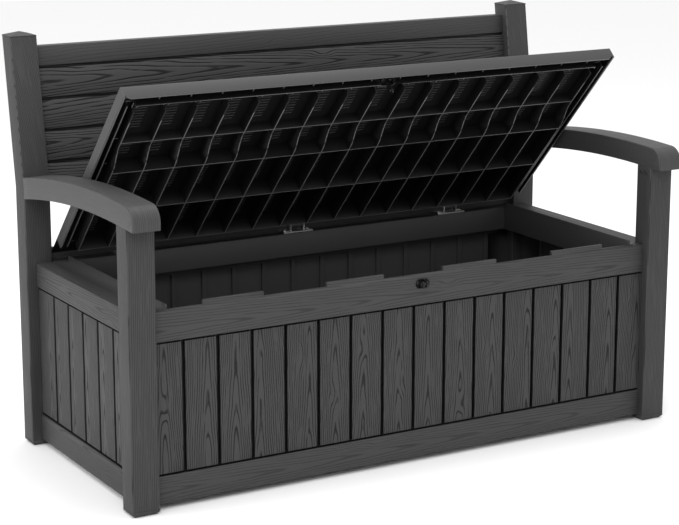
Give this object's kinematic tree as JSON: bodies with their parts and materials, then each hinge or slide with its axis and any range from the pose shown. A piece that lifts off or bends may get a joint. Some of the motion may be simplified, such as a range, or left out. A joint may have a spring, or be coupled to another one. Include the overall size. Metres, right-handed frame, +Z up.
{
  "type": "storage bench",
  "caption": "Moulded-resin garden storage bench with plank-look walls, curved armrests, slatted-look backrest and a hinged seat lid over a deep box.",
  "frame": {"origin": "on the floor, under the middle of the bounding box", "axes": "+Z up, front towards -Y, +X to the right as seen from the front"},
  "size_m": [1.33, 0.6548, 0.904],
  "materials": {
    "frame_resin": "moulded graphite resin with fine wood grain, satin",
    "panel_resin": "moulded graphite resin with embossed wood grain, satin",
    "backrest_resin": "moulded graphite resin with wood grain along the boards, satin",
    "lid_resin": "moulded near-black resin, ribbed and plain beneath, satin",
    "floor_resin": "moulded near-black resin, satin",
    "foot_resin": "moulded graphite resin, plain",
    "dowel_resin": "plain moulded resin",
    "lock_black": "glossy black",
    "steel": "zinc-plated steel",
    "nylon": "natural nylon"
  },
  "bodies": {
    "frame": {"front_post_left": "frame_resin", "rear_post_left": "frame_resin", "post_cap_left": "frame_resin", "armrest_left": "frame_resin", "armrest_cover_left": "frame_resin", "foot_front_left": "foot_resin", "foot_rear_left": "foot_resin", "end_panel_left": "panel_resin", "end_ledge_left": "panel_resin", "front_post_right": "frame_resin", "rear_post_right": "frame_resin", "post_cap_right": "frame_resin", "armrest_right": "frame_resin", "armrest_cover_right": "frame_resin", "foot_front_right": "foot_resin", "foot_rear_right": "foot_resin", "end_panel_right": "panel_resin", "end_ledge_right": "panel_resin", "front_panel": "panel_resin", "back_panel": "panel_resin", "back_ledge": "panel_resin", "backrest_front_shell": "backrest_resin", "backrest_rear_shell": "backrest_resin", "floor_panel": "floor_resin", "lock_eye": "lock_black", "hinge_bracket_left": "steel", "hinge_pin_left": "steel", "hinge_bracket_middle": "steel", "hinge_pin_middle": "steel", "hinge_bracket_right": "steel", "hinge_pin_right": "steel", "pin_clips": "steel", "bracket_screws": "steel", "corner_screws": "steel", "armrest_screws": "steel", "armrest_bolts": "steel", "backrest_dowels": "dowel_resin"},
    "lid": {"lid_panel": "lid_resin", "hinge_bush_left": "nylon", "hinge_bush_middle": "nylon", "hinge_bush_right": "nylon", "latch_tongue": "lock_black", "latch_screws": "steel"}
  },
  "joints": [
    {"name": "lid_hinge", "type": "hinge", "parent": "frame", "child": "lid", "pos_m": [0, 0.23688, 0.429], "axis": [-1, 0, 0], "range_deg": [-46.5, 43.5]}
  ]
}
